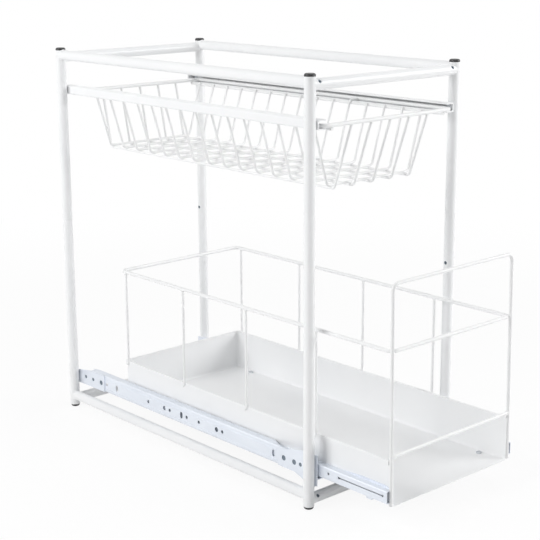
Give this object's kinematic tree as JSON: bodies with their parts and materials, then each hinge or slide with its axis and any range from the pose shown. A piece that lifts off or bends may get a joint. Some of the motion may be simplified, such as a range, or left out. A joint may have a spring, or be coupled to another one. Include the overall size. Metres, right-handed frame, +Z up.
{
  "type": "under sink organizer",
  "caption": "Two-level under sink rack: a tube frame with a sliding wire basket above and a railed drawer on ball slides below.",
  "frame": {"origin": "centre of the floor area that the part covers, with the drawer stored 102 mm open, on the floor under the feet", "axes": "+Z up; +Y towards the back, so the drawer and basket slide out along -Y; +X to the right, seen from the front"},
  "size_m": [0.2452, 0.5836, 0.49],
  "materials": {
    "white_paint": "white powder coat, semi-gloss",
    "white_wire": "white powder coat on wire, semi-gloss",
    "slide_steel": "pale bluish zinc plating",
    "cage_steel": "zinc plating",
    "ball_steel": "polished steel",
    "screw_steel": "zinc plating",
    "steel_inner": "bare steel, hidden",
    "black_plastic": "black moulded plastic"
  },
  "bodies": {
    "frame": {"post_upper_front_left": "white_paint", "post_lower_front_left": "white_paint", "top_cap_front_left": "black_plastic", "foot_front_left": "black_plastic", "post_upper_back_left": "white_paint", "post_lower_back_left": "white_paint", "top_cap_back_left": "black_plastic", "foot_back_left": "black_plastic", "post_upper_front_right": "white_paint", "post_lower_front_right": "white_paint", "top_cap_front_right": "black_plastic", "foot_front_right": "black_plastic", "post_upper_back_right": "white_paint", "post_lower_back_right": "white_paint", "top_cap_back_right": "black_plastic", "foot_back_right": "black_plastic", "top_rail_left": "white_paint", "bottom_rail_left": "white_paint", "top_rail_right": "white_paint", "bottom_rail_right": "white_paint", "top_rail_front": "white_paint", "bottom_rail_front": "white_paint", "top_rail_back": "white_paint", "bottom_rail_back": "white_paint", "post_spigots": "steel_inner", "post_screws": "screw_steel", "rail_stubs": "steel_inner", "rail_screws": "screw_steel", "basket_channel_left": "white_paint", "basket_channel_right": "white_paint", "basket_channel_screws": "screw_steel", "slide_outer_left": "slide_steel", "slide_bracket_front_left": "slide_steel", "slide_bracket_back_left": "slide_steel", "slide_outer_right": "slide_steel", "slide_bracket_front_right": "slide_steel", "slide_bracket_back_right": "slide_steel", "slide_rivets": "screw_steel"},
    "drawer": {"slide_inner_left": "slide_steel", "slide_inner_right": "slide_steel", "tray": "white_paint", "tray_screws": "screw_steel", "drawer_railing": "white_wire", "drawer_uprights_left": "white_wire", "drawer_uprights_right": "white_wire", "drawer_handle": "white_wire", "drawer_front_wire": "white_wire"},
    "basket": {"basket_rim": "white_wire", "basket_runner_left": "white_wire", "basket_runner_right": "white_wire", "basket_cross_wires": "white_wire", "basket_long_wires": "white_wire"},
    "ball_cage_left": {"ball_cage_left": "cage_steel", "slide_balls_left": "ball_steel"},
    "ball_cage_right": {"ball_cage_right": "cage_steel", "slide_balls_right": "ball_steel"}
  },
  "joints": [
    {"name": "drawer_slide", "type": "slide", "parent": "frame", "child": "drawer", "axis": [0, -1, 0], "range_m": [-0.102, 0.178]},
    {"name": "basket_slide", "type": "slide", "parent": "frame", "child": "basket", "axis": [0, -1, 0], "range_m": [-0.0145, 0.22]},
    {"name": "left_cage_slide", "type": "slide", "parent": "frame", "child": "ball_cage_left", "axis": [0, -1, 0], "range_m": [-0.051, 0.089]},
    {"name": "right_cage_slide", "type": "slide", "parent": "frame", "child": "ball_cage_right", "axis": [0, -1, 0], "range_m": [-0.051, 0.089]}
  ],
  "couplings": [
    {"joint": "left_cage_slide", "follows": "drawer_slide", "ratio": 0.5},
    {"joint": "right_cage_slide", "follows": "drawer_slide", "ratio": 0.5}
  ]
}
